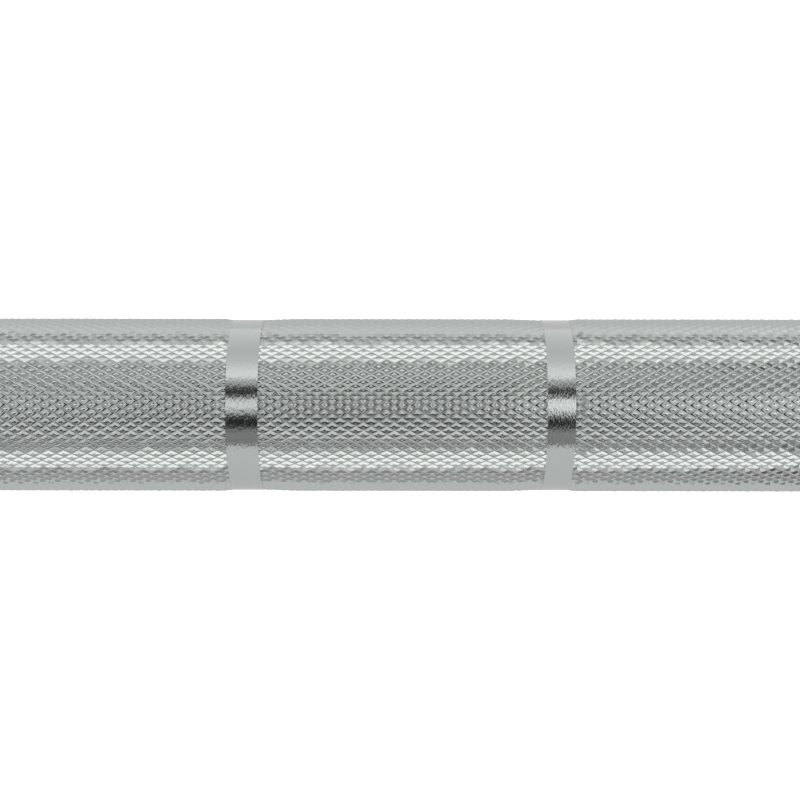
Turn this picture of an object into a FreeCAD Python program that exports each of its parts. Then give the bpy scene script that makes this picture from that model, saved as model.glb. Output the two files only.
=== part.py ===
"""Olympic barbell in millimetres: one knurled shaft and two loading sleeves that spin freely on its ends.

X runs along the bar, Z points up and the origin is the middle of the shaft. Every piece is drawn for the
right-hand end of the bar. The left-hand end is the same set of pieces, turned half a turn about Z.
"""

import FreeCAD
import Part
import Sketcher
import os

PARTS_FOLDER = "parts"

# Driving dimensions: name, value, meaning
SIZES = (
    ("bar_length", 2200, "overall length of the bar"),
    ("collar_span", 1310, "between the inner faces of the two collars"),
    ("grip_diameter", 28, "plain shaft between the collars"),
    ("journal_diameter", 25, "turned-down shaft end that the sleeve runs on"),
    ("shoulder_setback", 2, "from the seal to the step down to the journal"),
    ("shoulder_radius", 0.5, "rounding of the corner at the step"),
    ("journal_tail", 3.5, "journal left past the snap ring"),
    ("journal_chamfer", 1, "bevel on the end of the shaft"),
    ("snap_groove_diameter", 23.9, "bottom of the snap ring groove in the journal"),
    ("centre_plain_length", 420, "plain middle of the shaft, between the two knurled grips"),
    ("knurl_outer_gap", 10, "plain shaft between the collar and the knurl"),
    ("knurl_rise", 0.19, "knurl crests above the plain shaft"),
    ("knurl_depth", 0.26, "knurl valleys below the plain shaft"),
    ("knurl_runout", 0.8, "length over which the knurl dies away"),
    ("competition_mark_span", 910, "between the middles of the outer grip marks"),
    ("power_mark_span", 810, "between the middles of the inner grip marks"),
    ("competition_mark_width", 4.4, "width of an outer grip mark"),
    ("power_mark_width", 5, "width of an inner grip mark"),
    ("sleeve_diameter", 50, "outside of the loading sleeve"),
    ("sleeve_bore", 32, "bore at both ends, for the bushes and bearings"),
    ("waist_bore", 28, "narrower bore between the two bearings"),
    ("nose_chamfer", 2, "bevel on the outer end of the sleeve"),
    ("chamber_diameter", 40, "chamber around the shaft's snap ring"),
    ("chamber_depth", 15, "length of that chamber"),
    ("cap_seat_diameter", 42, "counterbore that holds the end cap"),
    ("cap_seat_depth", 12, "from the sleeve's end to the seat of the end cap"),
    ("cap_groove_diameter", 44.5, "bottom of the groove for the end cap's snap ring"),
    ("spigot_diameter", 46, "turned-down sleeve end inside the collar"),
    ("collar_diameter", 72, "outside of the inner collar"),
    ("collar_width", 30, "length of the inner collar"),
    ("collar_lip", 4, "wall of the collar over the end of the sleeve"),
    ("collar_register", 2, "depth that the full sleeve enters the collar"),
    ("relief_depth", 0.3, "undercut at the sleeve's foot, so that a plate seats flush on the collar"),
    ("relief_run", 1, "length of that undercut past the collar"),
    ("collar_clearance", 0.75, "gap between the collar's lip and the shaft"),
    ("collar_edge_radius", 2.5, "rounding of the collar's outer edges"),
    ("collar_mouth_chamfer", 0.8, "bevel where the shaft enters the collar"),
    ("seal_diameter", 38, "outside of the dust seal"),
    ("seal_width", 5, "length of the dust seal"),
    ("seal_wall", 1.4, "rubber around the seal's grease pocket"),
    ("seal_clearance", 0.1, "gap between the seal's lip and the shaft"),
    ("washer_thickness", 2, "both thrust washers"),
    ("washer_clearance", 0.1, "gap between a thrust washer and the journal"),
    ("inner_washer_gap", 0.3, "gap between the inner thrust washer and the sleeve's bore"),
    ("outer_washer_diameter", 36, "outside of the outer thrust washer"),
    ("end_float", 0.3, "gap between a thrust washer and its bush"),
    ("bush_length", 25, "both bushes"),
    ("bush_clearance", 0.03, "running gap between a bush and the journal"),
    ("bush_chamfer", 0.8, "bevel on the ends of a bush"),
    ("bearing_spacing", 4, "between a bush and the needle bearing beside it"),
    ("bearing_width", 20, "length of a needle bearing"),
    ("cup_wall", 1, "thickness of the bearing cup"),
    ("cup_lip_thickness", 0.8, "thickness of the cup's turned-in lips"),
    ("cup_lip_gap", 0.8, "gap between a lip and the journal"),
    ("needle_clearance", 0.02, "running gap on both sides of a needle"),
    ("needle_end_radius", 0.4, "rounding of a needle's ends"),
    ("needle_count", 20, "needles in one bearing"),
    ("cage_thickness", 1.2, "wall of the needle cage"),
    ("cage_end_gap", 0.2, "gap between the cage and a lip of the cup"),
    ("cage_rim", 1.35, "each end of the cage, beyond its windows"),
    ("cage_side_clearance", 0.05, "gap between a needle and the side of its window"),
    ("cage_length_clearance", 0.15, "gap between a needle and the end of its window"),
    ("ring_seat_clearance", 0.03, "gap between a snap ring and the bottom of its groove"),
    ("ring_side_clearance", 0.05, "gap between a snap ring and the side of its groove"),
    ("ring_lug_set_share", 0.85, "part of a lug's radius that the gap leaves"),
    ("shaft_ring_thickness", 1.2, "snap ring on the journal"),
    ("shaft_ring_back", 3, "its width opposite the gap"),
    ("shaft_ring_tip", 1.6, "its width beside the gap"),
    ("shaft_ring_gap", 2, "its opening"),
    ("shaft_ring_lug", 4.4, "height of its lugs"),
    ("shaft_ring_hole", 2, "plier holes in its lugs"),
    ("cap_ring_thickness", 1.75, "snap ring in the sleeve"),
    ("cap_ring_back", 4.1, "its width opposite the gap"),
    ("cap_ring_tip", 2.2, "its width beside the gap"),
    ("cap_ring_gap", 5, "its opening"),
    ("cap_ring_lug", 5.5, "height of its lugs"),
    ("cap_ring_hole", 2.5, "plier holes in its lugs"),
    ("cap_thickness", 6, "end cap"),
    ("cap_clearance", 0.05, "gap between the end cap and the sleeve"),
    ("cap_edge_chamfer", 0.8, "bevel around the end cap"),
    ("cap_recess_diameter", 30, "shallow dish in the end cap's face"),
    ("cap_recess_depth", 0.6, "depth of that dish"),
)

# Stations along the right-hand end, from the middle of the bar outwards
COLLAR_FACE = "(Sizes.collar_span / 2)"
SLEEVE_END = "(Sizes.bar_length / 2)"
LIP_END = f"({COLLAR_FACE} + Sizes.collar_lip)"
COLLAR_BACK = f"({COLLAR_FACE} + Sizes.collar_width)"
REGISTER = f"({COLLAR_BACK} - Sizes.collar_register)"
SEAL_END = f"({LIP_END} + Sizes.seal_width)"
SHOULDER = f"({SEAL_END} + Sizes.shoulder_setback)"
INNER_WASHER_END = f"({SHOULDER} + Sizes.washer_thickness)"
INNER_BUSH_START = f"({INNER_WASHER_END} + Sizes.end_float)"
INNER_BUSH_END = f"({INNER_BUSH_START} + Sizes.bush_length)"
INNER_BEARING_START = f"({INNER_BUSH_END} + Sizes.bearing_spacing)"
INNER_BEARING_END = f"({INNER_BEARING_START} + Sizes.bearing_width)"
CAP_SEAT = f"({SLEEVE_END} - Sizes.cap_seat_depth)"
CAP_FACE = f"({CAP_SEAT} + Sizes.cap_thickness)"
CHAMBER_FLOOR = f"({CAP_SEAT} - Sizes.chamber_depth)"
OUTER_BUSH_START = f"({CHAMBER_FLOOR} - Sizes.bush_length)"
OUTER_BEARING_START = f"({OUTER_BUSH_START} - Sizes.bearing_spacing - Sizes.bearing_width)"
OUTER_WASHER_START = f"({CHAMBER_FLOOR} + Sizes.end_float)"
SHAFT_RING_START = f"({OUTER_WASHER_START} + Sizes.washer_thickness)"
SHAFT_RING_END = f"({SHAFT_RING_START} + Sizes.shaft_ring_thickness)"
CAP_RING_END = f"({CAP_FACE} + Sizes.cap_ring_thickness)"
SHAFT_END = f"({SHAFT_RING_END} + Sizes.journal_tail)"

# Lengths along a needle bearing, from its cup inwards
CAGE_MARGIN = "(Sizes.cup_lip_thickness + Sizes.cage_end_gap)"
WINDOW_LENGTH = f"(Sizes.bearing_width - 2 * ({CAGE_MARGIN} + Sizes.cage_rim))"
NEEDLE_LENGTH = f"({WINDOW_LENGTH} - 2 * Sizes.cage_length_clearance)"

# Radii that more than one piece shares
GRIP_RADIUS = "(Sizes.grip_diameter / 2)"
JOURNAL_RADIUS = "(Sizes.journal_diameter / 2)"
SHAFT_GROOVE_RADIUS = "(Sizes.snap_groove_diameter / 2)"
SLEEVE_RADIUS = "(Sizes.sleeve_diameter / 2)"
RELIEF_RADIUS = f"({SLEEVE_RADIUS} - Sizes.relief_depth)"
BORE_RADIUS = "(Sizes.sleeve_bore / 2)"
WAIST_RADIUS = "(Sizes.waist_bore / 2)"
CHAMBER_RADIUS = "(Sizes.chamber_diameter / 2)"
CAP_SEAT_RADIUS = "(Sizes.cap_seat_diameter / 2)"
CAP_GROOVE_RADIUS = "(Sizes.cap_groove_diameter / 2)"
SPIGOT_RADIUS = "(Sizes.spigot_diameter / 2)"
COLLAR_RADIUS = "(Sizes.collar_diameter / 2)"
MOUTH_RADIUS = f"({GRIP_RADIUS} + Sizes.collar_clearance)"
SEAL_RADIUS = "(Sizes.seal_diameter / 2)"
WASHER_BORE_RADIUS = f"({JOURNAL_RADIUS} + Sizes.washer_clearance)"
RACEWAY_RADIUS = f"({BORE_RADIUS} - Sizes.cup_wall)"
PITCH_RADIUS = f"(({JOURNAL_RADIUS} + {RACEWAY_RADIUS}) / 2)"
NEEDLE_RADIUS = f"(({RACEWAY_RADIUS} - {JOURNAL_RADIUS}) / 2 - Sizes.needle_clearance)"

ON_AXIS = "0"


def make_sheet(doc):
    """The spreadsheet of driving dimensions, one row each."""
    sheet = doc.addObject("Spreadsheet::Sheet", "Sizes")
    for row, (alias, value, meaning) in enumerate(SIZES, start=1):
        sheet.set(f"A{row}", alias)
        sheet.set(f"B{row}", str(value))
        sheet.set(f"C{row}", meaning)
        sheet.setAlias(f"B{row}", alias)
    doc.recompute()
    return sheet


def origin_feature(body, role):
    """One of a body's own origin planes or axes."""
    return next(item for item in body.Origin.OriginFeatures if item.Role == role)


def sketch_on(body, name, role, offset=None):
    """An empty sketch on an origin plane, moved along the plane's normal by an expression."""
    sketch = body.newObject("Sketcher::SketchObject", name)
    sketch.AttachmentSupport = [(origin_feature(body, role), "")]
    sketch.MapMode = "FlatFace"
    if offset is not None:
        sketch.setExpression("AttachmentOffset.Base.z", offset)
    return sketch


def bind(sketch, constraint, expression):
    """Adds a constraint to a sketch and ties its value to the sheet."""
    index = sketch.addConstraint(constraint)
    sketch.setExpression(f"Constraints[{index}]", expression)


def pin_point(sketch, geometry, point, across, along):
    """Fixes one point of a sketch at the two coordinates that the expressions give."""
    if across == ON_AXIS:
        sketch.addConstraint(Sketcher.Constraint("PointOnObject", geometry, point, -2))
    else:
        value = sketch.evalExpression(across)
        bind(sketch, Sketcher.Constraint("DistanceX", -1, 1, geometry, point, value), across)
    if along == ON_AXIS:
        sketch.addConstraint(Sketcher.Constraint("PointOnObject", geometry, point, -1))
    else:
        value = sketch.evalExpression(along)
        bind(sketch, Sketcher.Constraint("DistanceY", -1, 1, geometry, point, value), along)


def draw_loop(sketch, points):
    """A closed outline of straight lines through points given as pairs of expressions."""
    places = [
        FreeCAD.Vector(sketch.evalExpression(across), sketch.evalExpression(along), 0)
        for across, along in points
    ]
    ends = places[1:] + places[:1]
    lines = [sketch.addGeometry(Part.LineSegment(a, b)) for a, b in zip(places, ends)]
    for line, following in zip(lines, lines[1:] + lines[:1]):
        sketch.addConstraint(Sketcher.Constraint("Coincident", line, 2, following, 1))
    for line, (across, along) in zip(lines, points):
        pin_point(sketch, line, 1, across, along)


def draw_circle(sketch, radius, across=ON_AXIS, along=ON_AXIS):
    """A circle whose radius and centre are expressions."""
    centre = FreeCAD.Vector(sketch.evalExpression(across), sketch.evalExpression(along), 0)
    value = sketch.evalExpression(radius)
    circle = sketch.addGeometry(Part.Circle(centre, FreeCAD.Vector(0, 0, 1), value))
    bind(sketch, Sketcher.Constraint("Radius", circle, value), radius)
    if (across, along) == (ON_AXIS, ON_AXIS):
        sketch.addConstraint(Sketcher.Constraint("Coincident", circle, 3, -1, 1))
    else:
        pin_point(sketch, circle, 3, across, along)


def turned(body, name, *outlines, kind="PartDesign::Revolution"):
    """Turns outlines of axial and radial expressions about the bar's axis, as a lathe would."""
    sketch = sketch_on(body, f"{name}_profile", "XY_Plane")
    for outline in outlines:
        draw_loop(sketch, outline)
    feature = body.newObject(kind, name)
    feature.Profile = sketch
    feature.ReferenceAxis = (sketch, ["H_Axis"])
    feature.Angle = 360
    body.Document.recompute()
    return feature


def pressed(body, name, sketch, thickness):
    """Pads a sketch outwards along the bar, as sheet of that thickness."""
    feature = body.newObject("PartDesign::Pad", name)
    feature.Profile = sketch
    feature.setExpression("Length", thickness)
    body.Document.recompute()
    return feature


def punched(body, name, sketch, depth):
    """Cuts a sketch away along its own normal, and checks that it removed something."""
    before = body.Shape.Volume
    feature = body.newObject("PartDesign::Pocket", name)
    feature.Profile = sketch
    feature.Reversed = True
    feature.setExpression("Length", depth)
    body.Document.recompute()
    if body.Shape.Volume >= before:
        raise RuntimeError(f"{body.Label}: {name} cut nothing")
    return feature


def patterned_about_bar(body, name, count, originals=()):
    """Repeats features, or the whole body, evenly about the bar's axis."""
    feature = body.newObject("PartDesign::PolarPattern", name)
    if originals:
        feature.Originals = list(originals)
    else:
        feature.TransformMode = "Whole shape"
    feature.Axis = (origin_feature(body, "X_Axis"), [""])
    feature.Angle = 360
    feature.setExpression("Occurrences", count)
    body.Tip = feature
    body.Document.recompute()
    return feature


def same(first, second):
    """True where two lengths are equal as far as the modeller can tell."""
    return abs(first - second) < Part.Precision.confusion()


def circle_edges(feature, radius):
    """Names of a feature's round edges of one radius."""
    wanted = feature.evalExpression(radius)
    return [
        f"Edge{number}"
        for number, edge in enumerate(feature.Shape.Edges, start=1)
        if isinstance(edge.Curve, Part.Circle) and same(edge.Curve.Radius, wanted)
    ]


def eased(body, name, base, edges, size, kind="PartDesign::Chamfer"):
    """Chamfers or fillets some edges of a feature."""
    feature = body.newObject(kind, name)
    feature.Base = (base, edges)
    feature.setExpression("Radius" if kind == "PartDesign::Fillet" else "Size", size)
    body.Document.recompute()
    return feature


def rectangle(start, end, low, high):
    """The four corners of a rectangle, as pairs of expressions."""
    return [(start, low), (end, low), (end, high), (start, high)]


def knurl_band(start, end):
    """Outline of one knurled band at its crests, dying away into the plain shaft at both ends."""
    root = f"({GRIP_RADIUS} - Sizes.knurl_depth)"
    crest = f"({GRIP_RADIUS} + Sizes.knurl_rise)"
    return [
        (start, root),
        (end, root),
        (end, GRIP_RADIUS),
        (f"({end} - Sizes.knurl_runout)", crest),
        (f"({start} + Sizes.knurl_runout)", crest),
        (start, GRIP_RADIUS),
    ]


def mark_edge(mark, side):
    """Station of the inner (-) or outer (+) edge of one of the plain grip marks."""
    return f"((Sizes.{mark}_mark_span {side} Sizes.{mark}_mark_width) / 2)"


def build_shaft(body):
    """The shaft: plain and knurled grip, grip marks, turned-down journals and their snap ring grooves."""
    blank = turned(
        body,
        "blank",
        [
            (ON_AXIS, ON_AXIS),
            (SHAFT_END, ON_AXIS),
            (SHAFT_END, f"({JOURNAL_RADIUS} - Sizes.journal_chamfer)"),
            (f"({SHAFT_END} - Sizes.journal_chamfer)", JOURNAL_RADIUS),
            (SHOULDER, JOURNAL_RADIUS),
            (SHOULDER, GRIP_RADIUS),
            (ON_AXIS, GRIP_RADIUS),
        ],
    )
    eased(body, "shoulder_edge", blank, circle_edges(blank, GRIP_RADIUS)[:1], "Sizes.shoulder_radius",
          kind="PartDesign::Fillet")
    turned(
        body,
        "knurled_bands",
        knurl_band("(Sizes.centre_plain_length / 2)", mark_edge("power", "-")),
        knurl_band(mark_edge("power", "+"), mark_edge("competition", "-")),
        knurl_band(mark_edge("competition", "+"), f"({COLLAR_FACE} - Sizes.knurl_outer_gap)"),
    )
    turned(
        body,
        "snap_ring_groove",
        rectangle(
            f"({SHAFT_RING_START} - Sizes.ring_side_clearance)",
            f"({SHAFT_RING_END} + Sizes.ring_side_clearance)",
            SHAFT_GROOVE_RADIUS,
            GRIP_RADIUS,
        ),
        kind="PartDesign::Groove",
    )
    other_half = body.newObject("PartDesign::Mirrored", "other_half")
    other_half.TransformMode = "Whole shape"
    other_half.MirrorPlane = (origin_feature(body, "YZ_Plane"), [""])
    body.Tip = other_half
    body.Document.recompute()


def build_sleeve_tube(body):
    """The loading sleeve: a tube with a spigot for the collar, stepped seats inside and a bevelled nose."""
    turned(
        body,
        "tube",
        [
            (LIP_END, SEAL_RADIUS),
            (LIP_END, SPIGOT_RADIUS),
            (REGISTER, SPIGOT_RADIUS),
            (REGISTER, RELIEF_RADIUS),
            (f"({COLLAR_BACK} + Sizes.relief_run)", RELIEF_RADIUS),
            (f"({COLLAR_BACK} + Sizes.relief_run)", SLEEVE_RADIUS),
            (f"({SLEEVE_END} - Sizes.nose_chamfer)", SLEEVE_RADIUS),
            (SLEEVE_END, f"({SLEEVE_RADIUS} - Sizes.nose_chamfer)"),
            (SLEEVE_END, CAP_SEAT_RADIUS),
            (CAP_SEAT, CAP_SEAT_RADIUS),
            (CAP_SEAT, CHAMBER_RADIUS),
            (CHAMBER_FLOOR, CHAMBER_RADIUS),
            (CHAMBER_FLOOR, BORE_RADIUS),
            (OUTER_BEARING_START, BORE_RADIUS),
            (OUTER_BEARING_START, WAIST_RADIUS),
            (INNER_BEARING_END, WAIST_RADIUS),
            (INNER_BEARING_END, BORE_RADIUS),
            (SEAL_END, BORE_RADIUS),
            (SEAL_END, SEAL_RADIUS),
        ],
    )
    turned(
        body,
        "cap_ring_groove",
        rectangle(
            f"({CAP_FACE} - Sizes.ring_side_clearance)",
            f"({CAP_RING_END} + Sizes.ring_side_clearance)",
            CHAMBER_RADIUS,
            CAP_GROOVE_RADIUS,
        ),
        kind="PartDesign::Groove",
    )


def build_inner_collar(body):
    """The collar that the plates rest against, pressed over the sleeve's spigot."""
    ring = turned(
        body,
        "ring",
        [
            (COLLAR_FACE, MOUTH_RADIUS),
            (COLLAR_FACE, COLLAR_RADIUS),
            (COLLAR_BACK, COLLAR_RADIUS),
            (COLLAR_BACK, SLEEVE_RADIUS),
            (REGISTER, SLEEVE_RADIUS),
            (REGISTER, SPIGOT_RADIUS),
            (LIP_END, SPIGOT_RADIUS),
            (LIP_END, MOUTH_RADIUS),
        ],
    )
    rounded = eased(body, "rounded_rims", ring, circle_edges(ring, COLLAR_RADIUS), "Sizes.collar_edge_radius",
                    kind="PartDesign::Fillet")
    face = rounded.evalExpression(COLLAR_FACE)
    mouth = [
        name
        for name in circle_edges(rounded, MOUTH_RADIUS)
        if same(rounded.Shape.getElement(name).Curve.Center.x, face)
    ]
    eased(body, "mouth_bevel", rounded, mouth, "Sizes.collar_mouth_chamfer")


def build_dust_seal(body):
    """The rubber seal behind the collar's lip: a body with a grease pocket, open towards the bearings."""
    lip = f"({GRIP_RADIUS} + Sizes.seal_clearance)"
    turned(
        body,
        "seal",
        [
            (LIP_END, lip),
            (LIP_END, SEAL_RADIUS),
            (SEAL_END, SEAL_RADIUS),
            (SEAL_END, f"({SEAL_RADIUS} - Sizes.seal_wall)"),
            (f"({LIP_END} + Sizes.seal_wall)", f"({SEAL_RADIUS} - Sizes.seal_wall)"),
            (f"({LIP_END} + Sizes.seal_wall)", f"({lip} + Sizes.seal_wall)"),
            (f"({SEAL_END} - Sizes.seal_wall)", f"({lip} + Sizes.seal_wall / 2)"),
            (f"({SEAL_END} - Sizes.seal_wall)", lip),
        ],
    )


def build_thrust_washer(body, start, outer_radius):
    """A flat washer on the journal."""
    sketch = sketch_on(body, "washer_outline", "YZ_Plane", start)
    draw_circle(sketch, outer_radius)
    draw_circle(sketch, WASHER_BORE_RADIUS)
    pressed(body, "washer", sketch, "Sizes.washer_thickness")


def build_bush(body, start):
    """A plain bronze bush pressed into the sleeve's bore, bevelled at both ends."""
    end = f"({start} + Sizes.bush_length)"
    bush = turned(
        body, "bush", rectangle(start, end, f"({JOURNAL_RADIUS} + Sizes.bush_clearance)", BORE_RADIUS)
    )
    eased(body, "lead_in", bush, circle_edges(bush, BORE_RADIUS), "Sizes.bush_chamfer")


def build_bearing_cup(body, start):
    """The drawn cup of a needle bearing, with both rims turned in to keep the cage."""
    end = f"({start} + Sizes.bearing_width)"
    lip_radius = f"({JOURNAL_RADIUS} + Sizes.cup_lip_gap)"
    turned(
        body,
        "cup",
        [
            (start, lip_radius),
            (start, BORE_RADIUS),
            (end, BORE_RADIUS),
            (end, lip_radius),
            (f"({end} - Sizes.cup_lip_thickness)", lip_radius),
            (f"({end} - Sizes.cup_lip_thickness)", RACEWAY_RADIUS),
            (f"({start} + Sizes.cup_lip_thickness)", RACEWAY_RADIUS),
            (f"({start} + Sizes.cup_lip_thickness)", lip_radius),
        ],
    )


def build_bearing_cage(body, start):
    """The cage of a needle bearing: a thin ring on the pitch circle with one window for each needle."""
    middle = f"({start} + Sizes.bearing_width / 2)"
    half_window = f"({WINDOW_LENGTH} / 2)"
    half_width = f"({NEEDLE_RADIUS} + Sizes.cage_side_clearance)"
    outside = f"({PITCH_RADIUS} + Sizes.cage_thickness / 2)"
    turned(
        body,
        "ring",
        rectangle(
            f"({start} + {CAGE_MARGIN})",
            f"({start} + Sizes.bearing_width - {CAGE_MARGIN})",
            f"({PITCH_RADIUS} - Sizes.cage_thickness / 2)",
            outside,
        ),
    )
    first, last = f"({middle} - {half_window})", f"({middle} + {half_window})"
    sketch = sketch_on(body, "window_outline", "XY_Plane")
    draw_loop(sketch, rectangle(first, last, f"(-{half_width})", half_width))
    window = punched(body, "window", sketch, f"({outside} + Sizes.cage_thickness)")
    patterned_about_bar(body, "windows", "Sizes.needle_count", [window])


def build_bearing_needles(body, start):
    """The needles of a bearing: plain rollers with rounded ends, evenly spaced on the pitch circle."""
    first = f"({start} + (Sizes.bearing_width - {NEEDLE_LENGTH}) / 2)"
    sketch = sketch_on(body, "needle_outline", "YZ_Plane", first)
    draw_circle(sketch, NEEDLE_RADIUS, along=PITCH_RADIUS)
    needle = pressed(body, "needle", sketch, NEEDLE_LENGTH)
    eased(body, "rounded_ends", needle, circle_edges(needle, NEEDLE_RADIUS), "Sizes.needle_end_radius",
          kind="PartDesign::Fillet")
    patterned_about_bar(body, "needles", "Sizes.needle_count")


def build_snap_ring(body, start, size, groove_radius, outward):
    """A snap ring in its groove: an off-centre ring with a gap at the top, and two lugs with plier holes.

    size is the start of the names of its dimensions. An outward ring sits on a shaft, and its lugs point
    away from the axis. The other kind sits in a bore, and its lugs point inwards.
    """
    side = "+" if outward else "-"
    thickness, gap = f"Sizes.{size}_thickness", f"Sizes.{size}_gap"
    back, tip, lug = f"Sizes.{size}_back", f"Sizes.{size}_tip", f"Sizes.{size}_lug"
    seated = f"({groove_radius} {side} Sizes.ring_seat_clearance)"
    free = f"({seated} {side} ({back} + {tip}) / 2)"
    shift = f"({'-' if outward else ''}({back} - {tip}) / 2)"
    lug_radius = f"(({lug} - {tip} / 2) / 2)"
    lug_centre = f"({seated} {side} ({lug} - {lug_radius}))"
    lug_across = f"({gap} / 2 + {lug_radius} * Sizes.ring_lug_set_share)"
    lug_up = f"sqrt({lug_centre} ^ 2 - {lug_across} ^ 2)"
    sides = (f"(-{lug_across})", lug_across)

    ring_outline = sketch_on(body, "ring_outline", "YZ_Plane", start)
    draw_circle(ring_outline, seated)
    draw_circle(ring_outline, free, along=shift)
    pressed(body, "ring", ring_outline, thickness)

    lug_outline = sketch_on(body, "lug_outline", "YZ_Plane", start)
    for across in sides:
        draw_circle(lug_outline, lug_radius, across, lug_up)
    pressed(body, "lugs", lug_outline, thickness)

    past_lugs = f"({seated} + {lug} + {back})"
    gap_outline = sketch_on(body, "gap_outline", "YZ_Plane", start)
    draw_loop(gap_outline, rectangle(f"(-{gap} / 2)", f"({gap} / 2)", ON_AXIS, past_lugs))
    punched(body, "gap", gap_outline, thickness)

    hole_outline = sketch_on(body, "hole_outline", "YZ_Plane", start)
    for across in sides:
        draw_circle(hole_outline, f"(Sizes.{size}_hole / 2)", across, lug_up)
    punched(body, "plier_holes", hole_outline, thickness)


def build_end_cap(body):
    """The disc that closes the sleeve: bevelled rims and a shallow plain dish in its face."""
    radius = f"({CAP_SEAT_RADIUS} - Sizes.cap_clearance)"
    dish = "(Sizes.cap_recess_diameter / 2)"
    dish_floor = f"({CAP_FACE} - Sizes.cap_recess_depth)"
    disc = turned(
        body,
        "disc",
        [
            (CAP_SEAT, ON_AXIS),
            (dish_floor, ON_AXIS),
            (dish_floor, dish),
            (CAP_FACE, dish),
            (CAP_FACE, radius),
            (CAP_SEAT, radius),
        ],
    )
    eased(body, "rim_bevels", disc, circle_edges(disc, radius), "Sizes.cap_edge_chamfer")


# The pieces of one end of the bar, and how each is made
END_PIECES = {
    "sleeve_tube": build_sleeve_tube,
    "inner_collar": build_inner_collar,
    "dust_seal": build_dust_seal,
    "inner_thrust_washer": lambda body: build_thrust_washer(
        body, SHOULDER, f"({BORE_RADIUS} - Sizes.inner_washer_gap)"
    ),
    "inner_bush": lambda body: build_bush(body, INNER_BUSH_START),
    "inner_bearing_cup": lambda body: build_bearing_cup(body, INNER_BEARING_START),
    "inner_bearing_cage": lambda body: build_bearing_cage(body, INNER_BEARING_START),
    "inner_bearing_needles": lambda body: build_bearing_needles(body, INNER_BEARING_START),
    "outer_bearing_cup": lambda body: build_bearing_cup(body, OUTER_BEARING_START),
    "outer_bearing_cage": lambda body: build_bearing_cage(body, OUTER_BEARING_START),
    "outer_bearing_needles": lambda body: build_bearing_needles(body, OUTER_BEARING_START),
    "outer_bush": lambda body: build_bush(body, OUTER_BUSH_START),
    "outer_thrust_washer": lambda body: build_thrust_washer(
        body, OUTER_WASHER_START, "(Sizes.outer_washer_diameter / 2)"
    ),
    "shaft_snap_ring": lambda body: build_snap_ring(
        body, SHAFT_RING_START, "shaft_ring", SHAFT_GROOVE_RADIUS, outward=True
    ),
    "end_cap": build_end_cap,
    "end_cap_snap_ring": lambda body: build_snap_ring(
        body, CAP_FACE, "cap_ring", CAP_GROOVE_RADIUS, outward=False
    ),
}

# Half turns about Z that bring the pieces to each end of the bar
ENDS = {"right": 0, "left": 180}


def make_piece(doc, label, build, turn=0):
    """One separate piece of the bar as a body of its own, turned about Z to its end."""
    body = doc.addObject("PartDesign::Body", label)
    body.Label = label
    build(body)
    body.Placement = FreeCAD.Placement(FreeCAD.Vector(), FreeCAD.Rotation(FreeCAD.Vector(0, 0, 1), turn))
    return body


def check_and_write(doc, pieces):
    """Stops on any failed feature or bad solid, then writes one STEP file for each piece."""
    doc.recompute()
    failed = [item.Label for item in doc.Objects if {"Invalid", "Error"} & set(item.State)]
    bad = [body.Label for body in pieces if body.Shape.isNull() or not body.Shape.isValid()]
    if failed or bad:
        raise RuntimeError(f"failed features {failed}, bad solids {bad}")
    os.makedirs(PARTS_FOLDER, exist_ok=True)
    for body in pieces:
        body.Shape.exportStep(os.path.join(PARTS_FOLDER, f"{body.Label}.step"))
        print(f"{body.Label}: {len(body.Shape.Solids)} solid(s), {body.Shape.Volume:.1f} mm3")


def main():
    """Builds the whole bar and writes its pieces."""
    doc = FreeCAD.newDocument("OlympicBarbell")
    make_sheet(doc)
    pieces = [make_piece(doc, "shaft", build_shaft)]
    for end, turn in ENDS.items():
        pieces += [make_piece(doc, f"{end}_{name}", build, turn) for name, build in END_PIECES.items()]
    check_and_write(doc, pieces)


main()
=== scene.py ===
"""Dresses the olympic barbell: knurled grips with plain marks, turned sleeves and what runs inside them.

Everything is in metres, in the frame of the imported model: X along the bar, Z up, origin in the middle of the
shaft. The camera looks at the two grip marks on the right-hand side, from above and in front.
"""

from __future__ import annotations

import logging
import math
from abc import ABC, abstractmethod
from dataclasses import dataclass, field
from enum import Enum
from typing import Any

import bmesh
import bpy
from mathutils import Matrix, Vector

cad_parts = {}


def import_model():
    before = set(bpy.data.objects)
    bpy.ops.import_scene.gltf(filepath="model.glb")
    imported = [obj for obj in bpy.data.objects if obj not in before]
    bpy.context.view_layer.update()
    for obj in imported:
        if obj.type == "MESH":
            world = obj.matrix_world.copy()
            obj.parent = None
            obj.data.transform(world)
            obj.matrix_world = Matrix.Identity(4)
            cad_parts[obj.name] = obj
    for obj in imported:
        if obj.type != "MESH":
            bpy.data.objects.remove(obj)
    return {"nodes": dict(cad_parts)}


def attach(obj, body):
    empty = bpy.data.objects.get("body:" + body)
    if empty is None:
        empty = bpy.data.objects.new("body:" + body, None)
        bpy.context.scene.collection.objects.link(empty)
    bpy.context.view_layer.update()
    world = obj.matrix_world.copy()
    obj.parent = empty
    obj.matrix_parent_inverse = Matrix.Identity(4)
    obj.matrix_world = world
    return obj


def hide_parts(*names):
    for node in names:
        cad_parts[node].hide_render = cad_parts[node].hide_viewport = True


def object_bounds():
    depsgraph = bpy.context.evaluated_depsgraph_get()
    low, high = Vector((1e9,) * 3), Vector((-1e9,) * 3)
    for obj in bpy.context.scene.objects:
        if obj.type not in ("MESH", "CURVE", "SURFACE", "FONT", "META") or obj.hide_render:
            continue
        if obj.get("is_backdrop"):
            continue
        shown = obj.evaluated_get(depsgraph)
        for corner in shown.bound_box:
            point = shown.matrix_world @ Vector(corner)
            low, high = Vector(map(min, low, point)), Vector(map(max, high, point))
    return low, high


LOG = logging.getLogger("barbell")
MM = 0.001
ROUND_SEGMENTS = 192
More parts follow.
